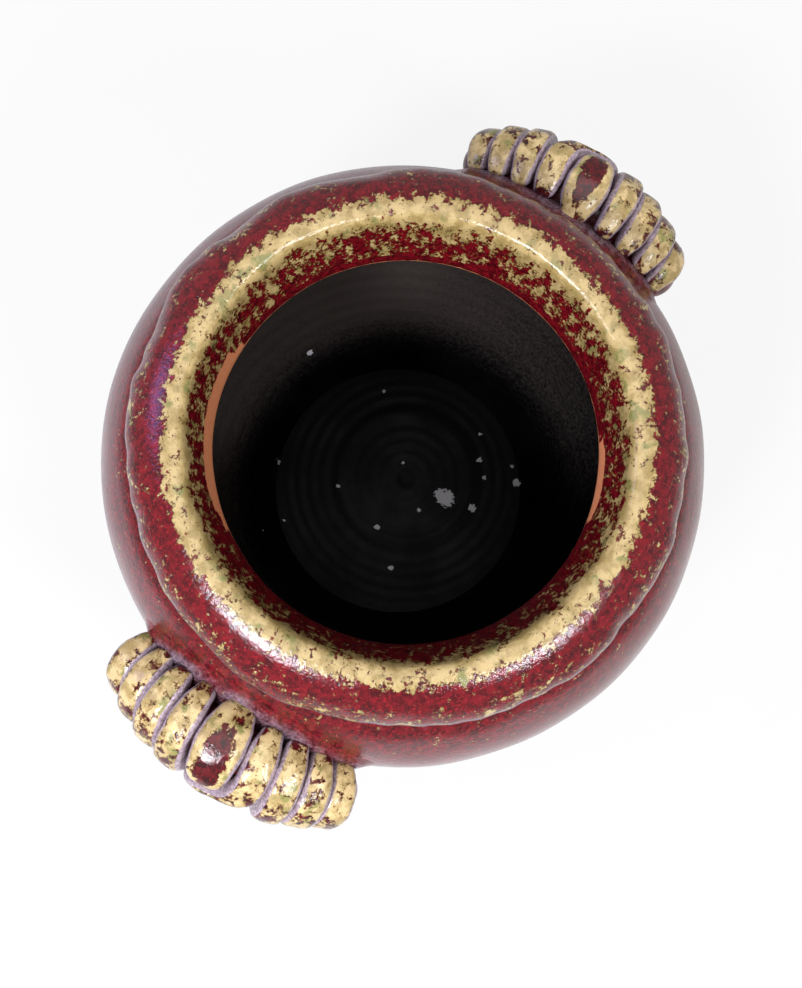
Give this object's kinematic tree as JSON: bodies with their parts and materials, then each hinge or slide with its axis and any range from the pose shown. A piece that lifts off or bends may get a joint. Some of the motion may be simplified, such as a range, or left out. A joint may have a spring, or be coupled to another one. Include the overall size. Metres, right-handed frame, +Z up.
{
  "type": "terracotta urn",
  "caption": "Hand-thrown round-shouldered clay urn with a thick rolled rim, a funnel mouth and a ribbed lug handle on each side, glazed outside and dark inside.",
  "frame": {"origin": "centre of the flat foot, on the surface the urn stands on", "axes": "+Z up the urn's axis, +X through the two handles towards the smaller one"},
  "size_m": [0.5228, 0.434, 0.37],
  "materials": {
    "red_glaze": "glossy oxblood glaze over fired clay, with a fine orange-peel surface",
    "ochre_broken_glaze": "glossy ochre glaze broken through the oxblood on raised rolls",
    "pooled_glaze": "grey-purple glaze where it pooled round the handles",
    "bare_clay": "unglazed fired terracotta, matt and slightly gritty",
    "black_slip": "near-black satin coat over the inside"
  },
  "bodies": {
    "root": {"lower_body": "red_glaze", "upper_body": "red_glaze", "rim_collar": "red_glaze", "right_handle_core": "pooled_glaze", "right_handle_root": "pooled_glaze", "right_lobe": "ochre_broken_glaze", "right_rib_1": "ochre_broken_glaze", "right_rib_2": "ochre_broken_glaze", "right_rib_3": "ochre_broken_glaze", "right_rib_4": "ochre_broken_glaze", "right_rib_5": "ochre_broken_glaze", "right_rib_6": "ochre_broken_glaze", "right_rib_7": "ochre_broken_glaze", "right_rib_8": "ochre_broken_glaze", "left_handle_core": "pooled_glaze", "left_handle_root": "pooled_glaze", "left_lobe": "ochre_broken_glaze", "left_rib_1": "ochre_broken_glaze", "left_rib_2": "ochre_broken_glaze", "left_rib_3": "ochre_broken_glaze", "left_rib_4": "ochre_broken_glaze", "left_rib_5": "ochre_broken_glaze", "left_rib_6": "ochre_broken_glaze", "left_rib_7": "ochre_broken_glaze", "left_rib_8": "ochre_broken_glaze"}
  },
  "joints": []
}
